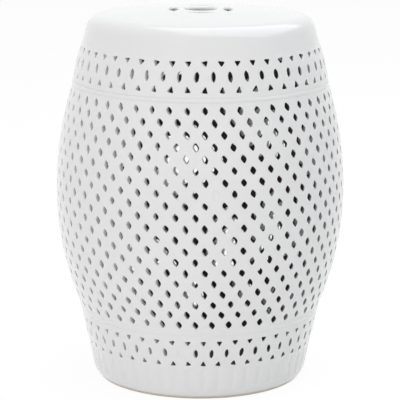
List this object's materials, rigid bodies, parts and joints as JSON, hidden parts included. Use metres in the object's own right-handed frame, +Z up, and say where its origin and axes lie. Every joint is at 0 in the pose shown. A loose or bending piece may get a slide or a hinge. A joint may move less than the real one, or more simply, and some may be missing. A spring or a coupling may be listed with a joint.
{
  "type": "garden stool",
  "caption": "Barrel-shaped garden stool in white glazed ceramic, with a pierced diamond lattice wall, pierced bands, a fluted foot and a domed seat with a pierced handhold.",
  "frame": {"origin": "on the ground, at the middle of the standing ring", "axes": "+Z up along the stool's axis; the pictured front faces -Y"},
  "size_m": [0.355, 0.355, 0.4568],
  "materials": {
    "white_glaze": "clear glossy glaze over white slip, pooling softly at the edges of the piercings",
    "bare_clay": "unglazed buff stoneware, dry and slightly sandy"
  },
  "bodies": {
    "root": {"foot_ring": "bare_clay", "fluted_foot": "white_glaze", "lower_fret_band": "white_glaze", "lower_bead_ring": "white_glaze", "lattice_wall": "white_glaze", "upper_bead_ring": "white_glaze", "upper_fret_band": "white_glaze", "seat_cap": "white_glaze"}
  },
  "joints": []
}
